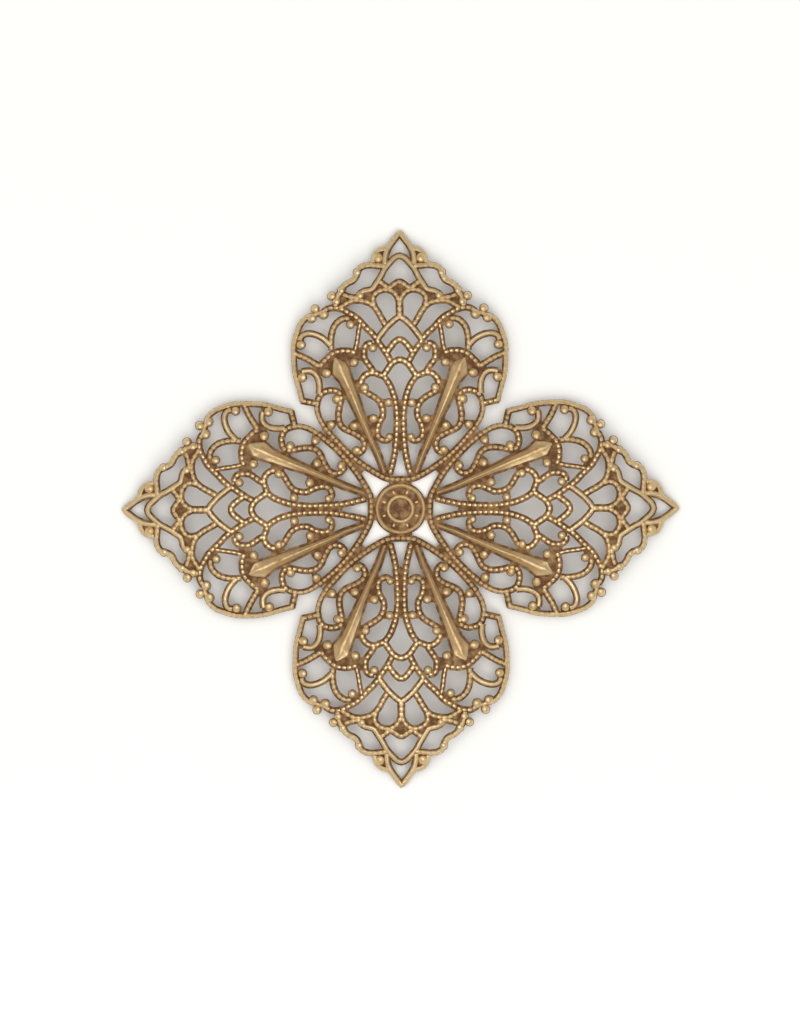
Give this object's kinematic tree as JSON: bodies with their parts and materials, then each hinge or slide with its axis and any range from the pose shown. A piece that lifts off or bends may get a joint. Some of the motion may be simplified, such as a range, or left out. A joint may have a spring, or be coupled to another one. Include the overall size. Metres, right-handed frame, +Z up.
{
  "type": "filigree flower finding",
  "caption": "Pierced and domed brass filigree stamping: a flower of pointed petals with beaded wires, curls and grains around a flat hub.",
  "frame": {"origin": "centre of the hub, on the surface that the flower lies on", "axes": "+Z up out of the face of the flower, +X and +Y each along the axis of a petal"},
  "size_m": [0.06, 0.06, 0.0043],
  "materials": {
    "antique_brass": "antiqued: dark in the ground, rubbed bright on the wires"
  },
  "bodies": {
    "root": {"flower": "antique_brass"}
  },
  "joints": []
}
